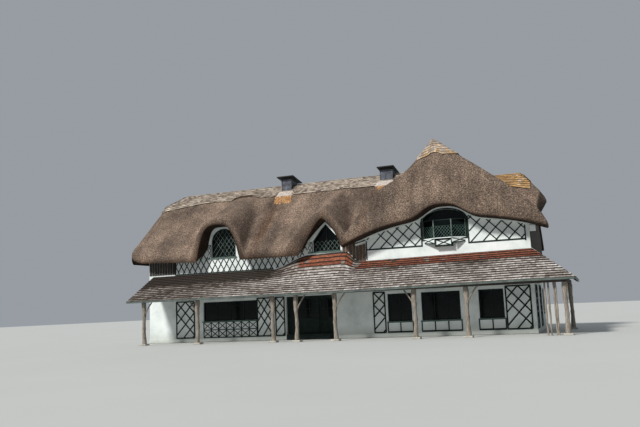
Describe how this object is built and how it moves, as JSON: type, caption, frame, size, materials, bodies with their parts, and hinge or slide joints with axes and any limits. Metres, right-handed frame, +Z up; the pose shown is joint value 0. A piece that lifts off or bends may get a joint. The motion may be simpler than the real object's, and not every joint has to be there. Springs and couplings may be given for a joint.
{
  "type": "thatched cottage",
  "caption": "Long thatched garden cottage with a peaked gable wing, curved dormers, a trunk-post veranda with a shingle roof, and a hinged garden door.",
  "frame": {"origin": "centre of the overall plan at ground level", "axes": "+X along the length to the peaked wing's end, -Y towards the veranda front, +Z up"},
  "size_m": [24.8, 10.95, 10.26],
  "materials": {
    "render": "matt lime render",
    "thatch": "weathered reed thatch",
    "ridge_shingle": "tan split shingles",
    "roof_shingle": "silvered split shingles",
    "joinery": "dark green paint, satin",
    "lead": "dull grey sheet metal",
    "bark_timber": "bare weathered trunks",
    "stone": "honed slabs",
    "floor_boards": "waxed boards"
  },
  "bodies": {
    "house": {"back_wall": "render", "back_window_1": "joinery", "back_window_2": "joinery", "door_frame": "joinery", "front_wall": "render", "gable_wall": "render", "gable_window": "joinery", "oriel_bay": "joinery", "glazed_screen": "joinery", "ground_floor": "stone", "ground_window_1": "joinery", "ground_window_2": "joinery", "ground_window_3": "joinery", "left_chimney_cap": "lead", "left_chimney_stack": "lead", "left_wall": "render", "left_window": "joinery", "long_window": "joinery", "peak_cap": "ridge_shingle", "pointed_dormer_window": "joinery", "pole_screen": "bark_timber", "post_1": "bark_timber", "post_2": "bark_timber", "post_3": "bark_timber", "post_4": "bark_timber", "post_5": "bark_timber", "post_6": "bark_timber", "post_7": "bark_timber", "post_8": "bark_timber", "post_9": "bark_timber", "rear_ridge_cap": "ridge_shingle", "ridge_cap": "ridge_shingle", "right_chimney_cap": "lead", "right_chimney_stack": "lead", "right_wall": "render", "right_window": "joinery", "round_dormer_window": "joinery", "side_beam": "bark_timber", "thatch_back": "thatch", "thatch_gable_left": "thatch", "thatch_gable_right": "thatch", "thatch_left_end_back": "thatch", "thatch_left_end_front": "thatch", "thatch_pointed_dormer": "thatch", "thatch_right_end_back": "thatch", "thatch_round_dormer": "thatch", "upper_floor": "floor_boards", "veranda_beam": "bark_timber", "veranda_roof_front": "roof_shingle", "veranda_roof_left": "roof_shingle", "veranda_roof_middle": "roof_shingle", "veranda_roof_right": "roof_shingle", "wall_beside_door": "render", "wall_over_door": "render"},
    "door": {"garden_door": "joinery"}
  },
  "joints": [
    {"name": "garden_door_hinge", "type": "hinge", "parent": "house", "child": "door", "pos_m": [0.307, -2.535, 1.2], "axis": [0, 0, 1], "range_deg": [-95, 0]}
  ]
}
